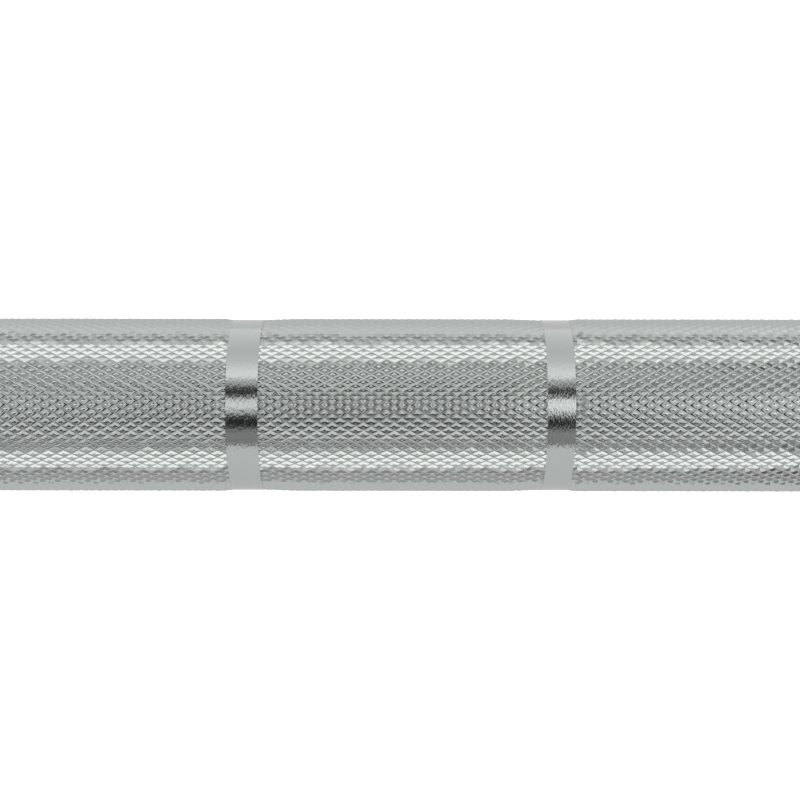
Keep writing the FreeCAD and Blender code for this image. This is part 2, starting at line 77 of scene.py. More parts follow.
SHARP_ANGLE = math.radians(25)
# Degrees from the front horizon over the top to the one behind
HALF_TURN = 180
# Numbers of a colour mix's sockets: its two colours and its result
MIX_FIRST = 6
MIX_SECOND = 7
MIX_RESULT = 2

Outline = list[tuple[float, float]]


class End(Enum):
    """The two ends of the bar, by the sign of X."""

    LEFT = -1
    RIGHT = 1

    def node(self, piece: str) -> str:
        """Name of this end's copy of a piece."""
        return f"{self.name.lower()}_{piece}"


def linear(colour: str) -> tuple[float, float, float, float]:
    """Turns an sRGB hex colour to the linear values that Blender's sockets hold.

    Args:
        colour: Six hex digits after a hash.

    Returns:
        Red, green and blue in linear light, and an alpha of 1.
    """
    channels = [int(colour[i : i + 2], 16) / 255 for i in (1, 3, 5)]
    red, green, blue = (c / 12.92 if c <= 0.04045 else ((c + 0.055) / 1.055) ** 2.4 for c in channels)
    return red, green, blue, 1.0


def add_node(
    tree: bpy.types.NodeTree, kind: str, inputs: dict[str | int, Any] | None = None, **settings: Any
) -> bpy.types.Node:
    """Adds one node to a tree, with its settings, values and links.

    Args:
        tree: The tree that gets the node.
        kind: Blender's name for the kind of node.
        inputs: For each input, by name or number: a value, a socket to link from, or a node whose
            first working output is linked.
        **settings: The node's own properties.

    Returns:
        The new node.
    """
    node = tree.nodes.new(kind)
    for name, value in settings.items():
        setattr(node, name, value)
    for key, value in (inputs or {}).items():
        if isinstance(value, bpy.types.Node):
            value = next(socket for socket in value.outputs if socket.enabled)
        if isinstance(value, bpy.types.NodeSocket):
            tree.links.new(value, node.inputs[key])
        else:
            node.inputs[key].default_value = value
    return node


@dataclass(frozen=True)
class Finish(ABC):
    """How one material looks: its name says what it is and how its surface was made."""

    name: str
    colour: str
    roughness: float

    def material(self) -> bpy.types.Material:
        """Makes this finish's material, or finds it if it was made before."""
        found = bpy.data.materials.get(self.name)
        if found is not None:
            return found
        made = bpy.data.materials.new(self.name)
        made.use_nodes = True
        tree = made.node_tree
        tree.nodes.clear()
        shader = add_node(tree, "ShaderNodeBsdfPrincipled")
        shader.inputs["Base Color"].default_value = linear(self.colour)
        shader.inputs["Roughness"].default_value = self.roughness
        add_node(tree, "ShaderNodeOutputMaterial", {"Surface": shader.outputs["BSDF"]})
        self.dress(tree, shader)
        return made

    @abstractmethod
    def dress(self, tree: bpy.types.NodeTree, shader: bpy.types.Node) -> None:
        """Adds what the surface shows on top of its plain colour and gloss.

        Args:
            tree: The material's node tree.
            shader: Its Principled shader.
        """


@dataclass(frozen=True)
class TurnedMetal(Finish):
    """Metal finished on a lathe: fine streaks that run round the bar, and faint handling smears."""

    streak_width: float = 0.28 * MM
    streak_length: float = 1.6 * MM
    streak_depth: float = 0.006 * MM
    smear_size: float = 9 * MM
    smear_share: float = 0.25
    streak_detail: float = 2.0
    smear_detail: float = 3.0

    def dress(self, tree: bpy.types.NodeTree, shader: bpy.types.Node) -> None:
        """Adds the streaks as relief, and smears that change the gloss."""
        place = add_node(tree, "ShaderNodeTexCoord").outputs["Object"]
        stretch = (1 / self.streak_width, 1 / self.streak_length, 1 / self.streak_length)
        along = add_node(tree, "ShaderNodeMapping", {"Vector": place, "Scale": stretch})
        streaks = add_node(
            tree,
            "ShaderNodeTexNoise",
            {"Vector": along.outputs["Vector"], "Scale": 1.0, "Detail": self.streak_detail},
        )
        relief = add_node(
            tree,
            "ShaderNodeBump",
            {"Height": streaks.outputs[0], "Distance": self.streak_depth, "Strength": 1.0},
        )
        smears = add_node(
            tree,
            "ShaderNodeTexNoise",
            {"Vector": place, "Scale": 1 / self.smear_size, "Detail": self.smear_detail},
        )
        low, high = self.roughness * (1 - self.smear_share), self.roughness * (1 + self.smear_share)
        gloss = add_node(
            tree, "ShaderNodeMapRange", {"Value": smears.outputs[0], "To Min": low, "To Max": high}
        )
        shader.inputs["Metallic"].default_value = 1.0
        tree.links.new(relief.outputs["Normal"], shader.inputs["Normal"])
        tree.links.new(gloss.outputs["Result"], shader.inputs["Roughness"])


@dataclass(frozen=True)
class GrainyMetal(Finish):
    """Metal with a fine grain all over, as rolling, blasting, sintering or coating leaves it."""

    grain_size: float = 0.1 * MM
    grain_depth: float = 0.002 * MM
    patch_colour: str = "#000000"
    patch_size: float = 1.5 * MM
    patch_share: float = 0.0
    grain_detail: float = 2.0
    patch_detail: float = 4.0

    def dress(self, tree: bpy.types.NodeTree, shader: bpy.types.Node) -> None:
        """Adds the grain as relief, and patches of a second colour."""
        place = add_node(tree, "ShaderNodeTexCoord").outputs["Object"]
        grain = add_node(
            tree,
            "ShaderNodeTexNoise",
            {"Vector": place, "Scale": 1 / self.grain_size, "Detail": self.grain_detail},
        )
        relief = add_node(
            tree,
            "ShaderNodeBump",
            {"Height": grain.outputs[0], "Distance": self.grain_depth, "Strength": 1.0},
        )
        patches = add_node(
            tree,
            "ShaderNodeTexNoise",
            {"Vector": place, "Scale": 1 / self.patch_size, "Detail": self.patch_detail},
        )
        amount = add_node(
            tree, "ShaderNodeMapRange", {"Value": patches.outputs[0], "To Max": 2 * self.patch_share}
        )
        second = linear(self.patch_colour)
        mixed = add_node(
            tree,
            "ShaderNodeMix",
            {"Factor": amount.outputs["Result"], MIX_FIRST: linear(self.colour), MIX_SECOND: second},
            data_type="RGBA",
        )
        shader.inputs["Metallic"].default_value = 1.0
        tree.links.new(mixed.outputs[MIX_RESULT], shader.inputs["Base Color"])
        tree.links.new(relief.outputs["Normal"], shader.inputs["Normal"])


@dataclass(frozen=True)
class MouldedRubber(Finish):
    """Moulded rubber: dark and matt, with a fine pebbled skin and a dusty bloom."""

    pebble_size: float = 0.25 * MM
    pebble_depth: float = 0.01 * MM
    bloom_colour: str = "#2b2b2c"
    bloom_size: float = 3 * MM

    def dress(self, tree: bpy.types.NodeTree, shader: bpy.types.Node) -> None:
        """Adds the pebbled skin and the bloom."""
        place = add_node(tree, "ShaderNodeTexCoord").outputs["Object"]
        pebbles = add_node(tree, "ShaderNodeTexVoronoi", {"Vector": place, "Scale": 1 / self.pebble_size})
        relief = add_node(
            tree,
            "ShaderNodeBump",
            {"Height": pebbles.outputs["Distance"], "Distance": self.pebble_depth, "Strength": 1.0},
        )
        bloom = add_node(tree, "ShaderNodeTexNoise", {"Vector": place, "Scale": 1 / self.bloom_size})
        second = linear(self.bloom_colour)
        mixed = add_node(
            tree,
            "ShaderNodeMix",
            {"Factor": bloom.outputs[0], MIX_FIRST: linear(self.colour), MIX_SECOND: second},
            data_type="RGBA",
        )
        tree.links.new(mixed.outputs[MIX_RESULT], shader.inputs["Base Color"])
        tree.links.new(relief.outputs["Normal"], shader.inputs["Normal"])


# Hard chrome over turned steel: bright, cool grey, with short streaks that run round the bar, drawn deeper
# than turning leaves them so that they show
PLAIN_CHROME = TurnedMetal(
    "turned_hard_chrome", "#c9cdcc", 0.1, streak_width=0.2 * MM, streak_length=0.6 * MM,
    streak_depth=0.042 * MM,
)
# The same plating over rolled knurling: bright small faces with a slight grain
KNURL_CHROME = GrainyMetal(
    "rolled_hard_chrome", "#d0d4d2", 0.1, grain_size=0.13 * MM, grain_depth=0.004 * MM,
    patch_colour="#c2c6c4", patch_size=0.9 * MM, patch_share=0.35,
)
# Hard chrome over a ground tube: a little brighter than the grip, with longer and shallower streaks
SLEEVE_CHROME = TurnedMetal(
    "ground_hard_chrome", "#d7dada", 0.14, streak_width=0.4 * MM, streak_length=6 * MM,
    streak_depth=0.004 * MM, smear_size=40 * MM,
)
# Aluminium blasted with glass beads: soft, even, pale grey
CAP_ALUMINIUM = GrainyMetal(
    "bead_blasted_aluminium", "#c6c7c9", 0.42, grain_size=0.25 * MM, grain_depth=0.01 * MM,
    patch_colour="#b4b5b8", patch_size=4 * MM, patch_share=0.3,
)
# Sintered bronze soaked in oil: warm brown, dull, with dark pores
BUSH_BRONZE = GrainyMetal(
    "sintered_bronze", "#a97c4a", 0.45, grain_size=0.3 * MM, grain_depth=0.02 * MM,
    patch_colour="#5b3f22", patch_size=0.5 * MM, patch_share=0.35,
)
# Cold-drawn bearing steel: smooth, slightly blue
CUP_STEEL = TurnedMetal("drawn_bearing_steel", "#b4b8bd", 0.22, smear_size=12 * MM)
# Ground and polished needles: nearly mirror-bright
NEEDLE_STEEL = TurnedMetal("polished_needle_steel", "#cfd2d5", 0.1, streak_depth=0.001 * MM)
# Pressed sheet steel with a straw-coloured temper film
CAGE_STEEL = GrainyMetal(
    "pressed_cage_steel", "#9a8f78", 0.38, patch_colour="#7d6f55", patch_size=3 * MM, patch_share=0.4
)
# Surface-ground washer steel: even grey
WASHER_STEEL = GrainyMetal(
    "ground_washer_steel", "#a8aaab", 0.32, patch_colour="#8d8f90", patch_size=5 * MM, patch_share=0.3
)
# Spring steel with a black phosphate coat: dark, velvety, with a dusty grey bloom
RING_STEEL = GrainyMetal(
    "phosphated_spring_steel", "#2f3032", 0.48, grain_size=0.15 * MM, grain_depth=0.006 * MM,
    patch_colour="#46474a", patch_size=2 * MM, patch_share=0.5,
)
# Nitrile rubber from a mould: nearly black and matt
SEAL_RUBBER = MouldedRubber("moulded_nitrile_rubber", "#161617", 0.7)


@dataclass
class Profile:
    """Outline of a turned piece, point by point, with any corner rounded."""

    corners: list[tuple[float, float, float]] = field(default_factory=list)
    arc_steps: int = 6

    def to(self, station: float, radius: float, rounding: float = 0.0) -> Profile:
        """Adds a corner.

        Args:
            station: Where it is along the bar.
            radius: How far it is from the bar's axis.
            rounding: Radius of the arc that rounds it.

        Returns:
            The profile itself, so that calls can follow each other.
        """
        self.corners.append((station, radius, rounding))
        return self

    def outline(self, end: End) -> Outline:
        """The profile's points with arcs in place of rounded corners.

        Args:
            end: The end of the bar that the points are for.

        Returns:
            Pairs of station and radius.
        """
        points: Outline = []
        for index, (station, radius, rounding) in enumerate(self.corners):
            here = Vector((station, radius))
            if rounding:
                before = Vector(self.corners[index - 1][:2])
                after = Vector(self.corners[(index + 1) % len(self.corners)][:2])
                points += [tuple(p) for p in self.arc(before, here, after, rounding)]
            else:
                points.append(tuple(here))
        return [(end.value * station, radius) for station, radius in points]

    def arc(self, before: Vector, here: Vector, after: Vector, rounding: float) -> list[Vector]:
        """Points of the arc that rounds one corner.

        Args:
            before: The corner before it.
            here: The corner itself.
            after: The corner after it.
            rounding: Radius of the arc.

        Returns:
            Points from the first tangent point to the last.
        """
        back, ahead = (before - here).normalized(), (after - here).normalized()
        half = back.angle(ahead) / 2
        centre = here + (back + ahead).normalized() * (rounding / math.sin(half))
        first = here + back * (rounding / math.tan(half)) - centre
        last = here + ahead * (rounding / math.tan(half)) - centre
        sweep = first.angle(last)
        return [
            centre
            + (first * math.sin(sweep * (1 - t)) + last * math.sin(sweep * t)) / math.sin(sweep)
            for t in (step / self.arc_steps for step in range(self.arc_steps + 1))
        ]


def turned_mesh(name: str, outline: Outline) -> bpy.types.Mesh:
    """Turns an outline about the bar's axis into a closed mesh.

    Args:
        name: Name of the mesh.
        outline: Points that run from axis to axis, or round a closed ring clear of it.

    Returns:
        The mesh, smooth except at its corners.
    """
    turns = [math.tau * k / ROUND_SEGMENTS for k in range(ROUND_SEGMENTS)]
    made = bmesh.new()
    rings = [
        [made.verts.new((x, r * math.cos(a), r * math.sin(a))) for a in (turns if r else turns[:1])]
        for x, r in outline
    ]
    on_axis = outline[0][1] == 0
    following = rings[1:] if on_axis else rings[1:] + rings[:1]
    for ring, after in zip(rings, following):
        for k in range(ROUND_SEGMENTS):
            corners = (
                ring[k % len(ring)],
                ring[(k + 1) % len(ring)],
                after[(k + 1) % len(after)],
                after[k % len(after)],
            )
            made.faces.new(dict.fromkeys(corners))
    bmesh.ops.recalc_face_normals(made, faces=made.faces)
    mesh = bpy.data.meshes.new(name)
    made.to_mesh(mesh)
    made.free()
    mesh.shade_smooth()
    mesh.set_sharp_from_angle(angle=SHARP_ANGLE)
    return mesh


def place_piece(mesh: bpy.types.Mesh, finish: Finish, body: str, slot: str, *nodes: str) -> None:
    """Makes a finished mesh a piece of the bar.

    Args:
        mesh: The piece's mesh, in its place.
        finish: What it is made of.
        body: The body that it moves with.
        slot: Not used.
        *nodes: The CAD nodes that it stands for.
    """
    piece = bpy.data.objects.new(mesh.name, mesh)
    bpy.context.scene.collection.objects.link(piece)
    mesh.materials.clear()
    mesh.materials.append(finish.material())
    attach(piece, body)
    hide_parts(*nodes)
    LOG.info("%s: %d faces, %s, on %s", mesh.name, len(mesh.polygons), finish.name, body)


class KnurlTree:
    """The Geometry Nodes tree that rolls diamond knurling onto the bar, one stretch of a band at a time."""

    # Sides of a diamond, and its rings of corners above the middle of the groove
    SIDES = 4
    RINGS = 3
    # Width of the plain first cone at its top, against its foot
    CONE_TOP = 0.5
    # How far odd rows are moved on, in diamonds
    STAGGER = 0.5
    # How close corners are that become one, and how far apart two shares are that count as the same
    WELD_DISTANCE = 0.004 * MM
    SHARE_TOLERANCE = 0.0001

    def __init__(self) -> None:
        """Builds the tree and its named inputs."""
        self.tree = bpy.data.node_groups.new("diamond_knurl", "GeometryNodeTree")
        face = self.tree.interface
        for name, kind in (
            ("Band start", "NodeSocketFloat"),
            ("Band end", "NodeSocketFloat"),
            ("Row step", "NodeSocketFloat"),
            ("First row", "NodeSocketInt"),
            ("Last row", "NodeSocketInt"),
            ("Diamonds round", "NodeSocketInt"),
            ("Mark radius", "NodeSocketFloat"),
            ("Crest radius", "NodeSocketFloat"),
            ("Groove share", "NodeSocketFloat"),
            ("Land share", "NodeSocketFloat"),
            ("Tip share", "NodeSocketFloat"),
            ("Groove rise", "NodeSocketFloat"),
            ("Flank rise", "NodeSocketFloat"),
            ("Dome rise", "NodeSocketFloat"),
            ("End crest radius", "NodeSocketFloat"),
            ("Crest run-out", "NodeSocketFloat"),
            ("Wear share", "NodeSocketFloat"),
            ("Seed", "NodeSocketInt"),
            ("Finish", "NodeSocketMaterial"),
        ):
            face.new_socket(name, in_out="INPUT", socket_type=kind)
        face.new_socket("Geometry", in_out="OUTPUT", socket_type="NodeSocketGeometry")
        self.given = add_node(self.tree, "NodeGroupInput").outputs
        self.place = add_node(
            self.tree, "ShaderNodeSeparateXYZ", {0: add_node(self.tree, "GeometryNodeInputPosition")}
        ).outputs
        rolled = self.creased(self.pressed(self.rolled(self.diamond())))
        finished = add_node(
            self.tree, "GeometryNodeSetMaterial", {"Geometry": rolled, "Material": self.given["Finish"]}
        )
        add_node(self.tree, "NodeGroupOutput", {"Geometry": finished})

    def diamond(self) -> bpy.types.Node:
        """One diamond at the top of the bar, as wide as its cell.

        Four rings of corners make it: the middle of the groove, the foot of the flank, the rim of the land
        and the flat of the tip. A ring's share says how far out it is, from the middle of the diamond at 0
        to the middle of the groove at 1.

        Returns:
            The node that gives it, open below, with each corner's share stored as "share".
        """
        tree, given, place = self.tree, self.given, self.place
        cone = add_node(
            tree,
            "GeometryNodeMeshCone",
            {
                "Vertices": self.SIDES,
                "Side Segments": self.RINGS,
                "Radius Top": self.CONE_TOP,
                "Radius Bottom": 1.0,
                "Depth": float(self.RINGS),
            },
            fill_type="NGON",
        )
        ring = add_node(tree, "FunctionNodeFloatToInt", {0: place["Z"]}, rounding_mode="ROUND")
        share = add_node(tree, "GeometryNodeIndexSwitch", {"Index": ring}, data_type="FLOAT")
        while len(share.index_switch_items) <= self.RINGS:
            share.index_switch_items.new()
        share.inputs[1].default_value = 1.0
        for number, name in enumerate(("Groove share", "Land share", "Tip share"), start=2):
            tree.links.new(given[name], share.inputs[number])
        stored = add_node(
            tree,
            "GeometryNodeStoreNamedAttribute",
            {"Geometry": cone.outputs["Mesh"], "Name": "share", "Value": share},
            data_type="FLOAT",
            domain="POINT",
        )
        opened = add_node(
            tree,
            "GeometryNodeDeleteGeometry",
            {"Geometry": stored, "Selection": cone.outputs["Bottom"]},
            domain="FACE",
        )
        half_angle = add_node(
            tree, "ShaderNodeMath", {0: math.pi, 1: given["Diamonds round"]}, operation="DIVIDE"
        )
        slope = add_node(tree, "ShaderNodeMath", {0: half_angle}, operation="TANGENT")
        half_height = add_node(
            tree, "ShaderNodeMath", {0: slope, 1: given["Mark radius"]}, operation="MULTIPLY"
        )
        sides = add_node(tree, "ShaderNodeCombineXYZ", {"X": given["Row step"], "Y": half_height})
        across = add_node(tree, "ShaderNodeCombineXYZ", {"X": place["X"], "Y": place["Y"]})
        unit = add_node(tree, "ShaderNodeVectorMath", {0: across}, operation="NORMALIZE")
        wide = add_node(tree, "ShaderNodeVectorMath", {0: unit, 1: sides}, operation="MULTIPLY")
        kept = add_node(
            tree, "GeometryNodeInputNamedAttribute", {"Name": "share"}, data_type="FLOAT"
        )
        drawn = add_node(tree, "ShaderNodeVectorMath", {0: wide, "Scale": kept}, operation="SCALE")
        top = add_node(tree, "ShaderNodeCombineXYZ", {"Z": given["Mark radius"]})
        corner = add_node(tree, "ShaderNodeVectorMath", {0: drawn, 1: top}, operation="ADD")
        return add_node(tree, "GeometryNodeSetPosition", {"Geometry": opened, "Position": corner})

    def rolled(self, diamond: bpy.types.Node) -> bpy.types.Node:
        """Sets a copy of the diamond on each place of the stretch, in rows staggered by half a diamond.

        Args:
            diamond: One diamond at the top of the bar.

        Returns:
            The node that gives the diamonds all round the bar, each with a chance value stored as "wear".
        """
        tree, given = self.tree, self.given
        index = add_node(tree, "GeometryNodeInputIndex")
        round_bar = given["Diamonds round"]
        rows = add_node(
            tree, "ShaderNodeMath", {0: given["Last row"], 1: given["First row"]}, operation="SUBTRACT"
        )
        count = add_node(
            tree, "ShaderNodeMath", {0: rows, 1: round_bar, 2: round_bar}, operation="MULTIPLY_ADD"
        )
        passed = add_node(
            tree, "FunctionNodeIntegerMath", {0: index, 1: round_bar}, operation="DIVIDE"
        )
        row = add_node(tree, "FunctionNodeIntegerMath", {0: passed, 1: given["First row"]}, operation="ADD")
        odd = add_node(tree, "FunctionNodeIntegerMath", {0: row, 1: 2}, operation="MODULO")
        order = add_node(tree, "FunctionNodeIntegerMath", {0: index, 1: round_bar}, operation="MODULO")
        place = add_node(
            tree, "ShaderNodeMath", {0: odd, 1: self.STAGGER, 2: order}, operation="MULTIPLY_ADD"
        )
        share = add_node(tree, "ShaderNodeMath", {0: place, 1: round_bar}, operation="DIVIDE")
        turn = add_node(tree, "ShaderNodeMath", {0: share, 1: math.tau}, operation="MULTIPLY")
        station = add_node(tree, "ShaderNodeMath", {0: row, 1: given["Row step"]}, operation="MULTIPLY")
        points = add_node(
            tree,
            "GeometryNodePoints",
            {"Count": count, "Position": add_node(tree, "ShaderNodeCombineXYZ", {"X": station})},
        )
        angles = add_node(tree, "ShaderNodeCombineXYZ", {"X": turn})
        copies = add_node(
            tree,
            "GeometryNodeInstanceOnPoints",
            {
                "Points": points,
                "Instance": diamond,
                "Rotation": add_node(tree, "FunctionNodeEulerToRotation", {0: angles}),
            },
        )
        chance = add_node(tree, "FunctionNodeRandomValue", {"Seed": given["Seed"]}, data_type="FLOAT")
        worn = add_node(
            tree,
            "GeometryNodeStoreNamedAttribute",
            {"Geometry": copies, "Name": "wear", "Value": chance},
            data_type="FLOAT",
            domain="INSTANCE",
        )
        return add_node(tree, "GeometryNodeRealizeInstances", {"Geometry": worn})

    def pressed(self, diamonds: bpy.types.Node) -> bpy.types.Node:
        """Presses each corner of the diamonds to its height above the bar's axis.

        Args:
            diamonds: The real diamonds round the bar.

        Returns:
            The node that gives the stretch's outer skin, welded into one sheet.
        """
        tree, given, place = self.tree, self.given, self.place
        from_start = add_node(
            tree, "ShaderNodeMath", {0: place["X"], 1: given["Band start"]}, operation="SUBTRACT"
        )
        to_end = add_node(
            tree, "ShaderNodeMath", {0: given["Band end"], 1: place["X"]}, operation="SUBTRACT"
        )
        crest = add_node(
            tree,
            "ShaderNodeMapRange",
            {
                "Value": add_node(tree, "ShaderNodeMath", {0: from_start, 1: to_end}, operation="MINIMUM"),
                "From Max": given["Crest run-out"],
                "To Min": given["End crest radius"],
                "To Max": given["Crest radius"],
            },
            interpolation_type="SMOOTHSTEP",
        )
        share, wear = (
            add_node(tree, "GeometryNodeInputNamedAttribute", {"Name": name}, data_type="FLOAT")
            for name in ("share", "wear")
        )
        climbs = [
            add_node(
                tree,
                "ShaderNodeMapRange",
                {"Value": share, "From Min": foot, "From Max": given[head]},
            )
            for foot, head in (
                (1.0, "Groove share"),
                (given["Groove share"], "Land share"),
                (given["Land share"], "Tip share"),
            )
        ]
        lost = add_node(tree, "ShaderNodeMath", {0: wear, 1: given["Wear share"]}, operation="MULTIPLY")
        kept = add_node(tree, "ShaderNodeMath", {0: 1.0, 1: lost}, operation="SUBTRACT")
        worn = add_node(tree, "ShaderNodeMath", {0: given["Flank rise"], 1: kept}, operation="MULTIPLY")
        radius = crest
        for rise in ("Groove rise", "Flank rise", "Dome rise"):
            radius = add_node(tree, "ShaderNodeMath", {0: radius, 1: given[rise]}, operation="SUBTRACT")
        for climb, rise in zip(climbs, (given["Groove rise"], worn, given["Dome rise"])):
            radius = add_node(
                tree, "ShaderNodeMath", {0: climb, 1: rise, 2: radius}, operation="MULTIPLY_ADD"
            )
        spoke = add_node(tree, "ShaderNodeCombineXYZ", {"Y": place["Y"], "Z": place["Z"]})
        outward = add_node(tree, "ShaderNodeVectorMath", {0: spoke}, operation="NORMALIZE")
        reach = add_node(tree, "ShaderNodeVectorMath", {0: outward, "Scale": radius}, operation="SCALE")
        seat = add_node(tree, "ShaderNodeCombineXYZ", {"X": place["X"]})
        settled = add_node(tree, "ShaderNodeVectorMath", {0: reach, 1: seat}, operation="ADD")
        moved = add_node(tree, "GeometryNodeSetPosition", {"Geometry": diamonds, "Position": settled})
        return add_node(
            tree, "GeometryNodeMergeByDistance", {"Geometry": moved, "Distance": self.WELD_DISTANCE}
        )

    def creased(self, skin: bpy.types.Node) -> bpy.types.Node:
        """Makes every edge from a land's rim outwards sharp, except the middle lines of the grooves.

        Args:
            skin: The welded skin.

        Returns:
            The node that gives it with its sharp edges marked.
        """
        tree, given = self.tree, self.given
        smooth = add_node(tree, "GeometryNodeSetShadeSmooth", {"Geometry": skin, "Shade Smooth": True})
        share = add_node(tree, "GeometryNodeInputNamedAttribute", {"Name": "share"}, data_type="FLOAT")
        slack = self.SHARE_TOLERANCE
        low = add_node(tree, "ShaderNodeMath", {0: share, 1: 1 - slack}, operation="LESS_THAN")
        rim = add_node(tree, "ShaderNodeMath", {0: given["Land share"], 1: slack}, operation="SUBTRACT")
        high = add_node(tree, "ShaderNodeMath", {0: share, 1: rim}, operation="GREATER_THAN")
        sharp = add_node(tree, "ShaderNodeMath", {0: low, 1: high}, operation="MULTIPLY")
        return add_node(
            tree,
            "GeometryNodeSetShadeSmooth",
            {"Geometry": smooth, "Selection": sharp, "Shade Smooth": False},
            domain="EDGE",
        )

    def roll(self, name: str, **sizes: Any) -> bpy.types.Mesh:
        """Makes one stretch of knurling.

        Args:
            name: Name of the mesh.
            **sizes: The tree's inputs, by their names with underscores for spaces and hyphens.

        Returns:
            The stretch's outer skin as a plain mesh.
        """
        blank = bpy.data.objects.new(name, bpy.data.meshes.new(f"{name}_blank"))
        bpy.context.scene.collection.objects.link(blank)
        modifier = blank.modifiers.new("knurl", "NODES")
        modifier.node_group = self.tree
        for socket in self.tree.interface.items_tree:
            if socket.in_out == "INPUT":
                key = socket.name.lower().replace(" ", "_").replace("-", "_")
                modifier[socket.identifier] = sizes[key]
        skin = bpy.data.meshes.new_from_object(blank.evaluated_get(bpy.context.evaluated_depsgraph_get()))
        blank.modifiers.remove(modifier)
        bpy.data.objects.remove(blank)
        skin.name = name
        return skin


@dataclass(frozen=True)
class KnurlBand:
    """One knurled band, by its distance from the middle of the bar."""

    name: str
    start: float
    finish: float
    crest_runout: float
    stretches: int


@dataclass
class Shaft:
    """The shaft: its knurled bands, and one turned core for the rest of it."""

    body: str = "shaft"
    slot: str = "shaft_chrome"
    grip_radius: float = 14 * MM
    journal_radius: float = 12.5 * MM
    shoulder: float = 666 * MM
    shoulder_rounding: float = 0.5 * MM
    journal_end: float = 1080 * MM
    journal_chamfer: float = 1 * MM
    groove_start: float = 1075.25 * MM
    groove_end: float = 1076.55 * MM
    groove_radius: float = 11.95 * MM
    core_radius: float = 13.6 * MM
    lining_radius: float = 13.5 * MM
    # Rows rolled past each end of a stretch, and how far from a cut faces are looked for and how fine it is
    spare_rows: int = 1
    cut_reach: float = 4 * MM
    cut_tolerance: float = 0.001 * MM
    bands: tuple[KnurlBand, ...] = (
        KnurlBand("inner", 210 * MM, 402.5 * MM, 1.5 * MM, 2),
        KnurlBand("middle", 407.5 * MM, 452.8 * MM, 6 * MM, 1),
        KnurlBand("outer", 457.2 * MM, 645 * MM, 1.5 * MM, 2),
    )
    diamonds_round: int = 64
    diamond_length: float = 2.416 * MM
    crest_radius: float = 14.19 * MM
    end_crest_radius: float = 14.02 * MM
    groove_share: float = 0.86
    land_share: float = 0.36
    tip_share: float = 0.12
    groove_rise: float = 0.048 * MM
    flank_rise: float = 0.285 * MM
    dome_rise: float = 0.026 * MM
    wear_share: float = 0.1
    seed: int = 7

    def build(self, knurl: KnurlTree) -> None:
        """Makes the core and all the knurled bands.

        Args:
            knurl: The tree that rolls the bands.
        """
        self.build_core()
        for end in End:
            for band in self.bands:
                self.build_band(knurl, end, band)

    def build_core(self) -> None:
        """Turns the plain middle, the grip marks, the shoulders and the journals in one piece."""
        half = Profile()
        for band in self.bands:
            half.to(band.start, self.grip_radius).to(band.start, self.core_radius)
            half.to(band.finish, self.core_radius).to(band.finish, self.grip_radius)
        half.to(self.shoulder, self.grip_radius, self.shoulder_rounding)
        half.to(self.shoulder, self.journal_radius)
        half.to(self.groove_start, self.journal_radius).to(self.groove_start, self.groove_radius)
        half.to(self.groove_end, self.groove_radius).to(self.groove_end, self.journal_radius)
        half.to(self.journal_end - self.journal_chamfer, self.journal_radius)
        half.to(self.journal_end, self.journal_radius - self.journal_chamfer)
        half.to(self.journal_end, 0)
        outline = half.outline(End.LEFT)[::-1] + half.outline(End.RIGHT)
        place_piece(turned_mesh("shaft_core", outline), PLAIN_CHROME, self.body, self.slot, "shaft")

    def build_band(self, knurl: KnurlTree, end: End, band: KnurlBand) -> None:
        """Rolls one knurled band in stretches that meet end to end, each a closed ring round the core.

        Args:
            knurl: The tree that rolls it.
            end: The end of the bar that it is on.
            band: Which band it is.
        """
        low, high = sorted((end.value * band.start, end.value * band.finish))
        step = self.diamond_length / 2
        length = (high - low) / band.stretches
        for number in range(band.stretches):
            first, last = low + length * number, low + length * (number + 1)
            mesh = knurl.roll(
                end.node(f"{band.name}_knurl_{number + 1}"),
                band_start=low,
                band_end=high,
                row_step=step,
                first_row=math.floor(first / step) - self.spare_rows,
                last_row=math.ceil(last / step) + self.spare_rows,
                diamonds_round=self.diamonds_round,
                mark_radius=self.grip_radius,
                crest_radius=self.crest_radius,
                groove_share=self.groove_share,
                land_share=self.land_share,
                tip_share=self.tip_share,
                groove_rise=self.groove_rise,
                flank_rise=self.flank_rise,
                dome_rise=self.dome_rise,
                end_crest_radius=self.end_crest_radius,
                crest_run_out=band.crest_runout,
                wear_share=self.wear_share,
                seed=self.seed,
                finish=KNURL_CHROME.material(),
            )
            self.close_stretch(mesh, first, last)
            place_piece(mesh, KNURL_CHROME, self.body, self.slot, "shaft")

    def close_stretch(self, mesh: bpy.types.Mesh, first: float, last: float) -> None:
        """Cuts a stretch's skin off square at both ends and closes it with flat ends and a plain lining.

        Args:
            mesh: The skin, which is changed in place.
            first: Where the stretch starts.
            last: Where it ends.
        """
        band = bmesh.new()
        band.from_mesh(mesh)
        for station, outward in ((first, -1), (last, 1)):
            near = [
                face
                for face in band.faces
                if abs(face.calc_center_median().x - station) < self.cut_reach
            ]
            # Each part once and in a fixed order, so that every run cuts alike
            parts = dict.fromkeys(part for face in near for part in (face, *face.edges, *face.verts))
            bmesh.ops.bisect_plane(
                band,
                geom=list(parts),
                plane_co=(station, 0, 0),
                plane_no=(outward, 0, 0),
                clear_outer=True,
                dist=self.cut_tolerance,
            )
        rims = [edge for edge in band.edges if edge.is_boundary]
        made = bmesh.ops.extrude_edge_only(band, edges=rims)["geom"]
        for vert in (item for item in made if isinstance(item, bmesh.types.BMVert)):
            vert.co.yz = Vector(vert.co.yz).normalized() * self.lining_radius
        inner = [item for item in made if isinstance(item, bmesh.types.BMEdge) and item.is_boundary]
        bmesh.ops.bridge_loops(band, edges=inner)
        bmesh.ops.recalc_face_normals(band, faces=band.faces)
        for edge in (*rims, *inner):
            edge.smooth = False
        band.to_mesh(mesh)
        band.free()


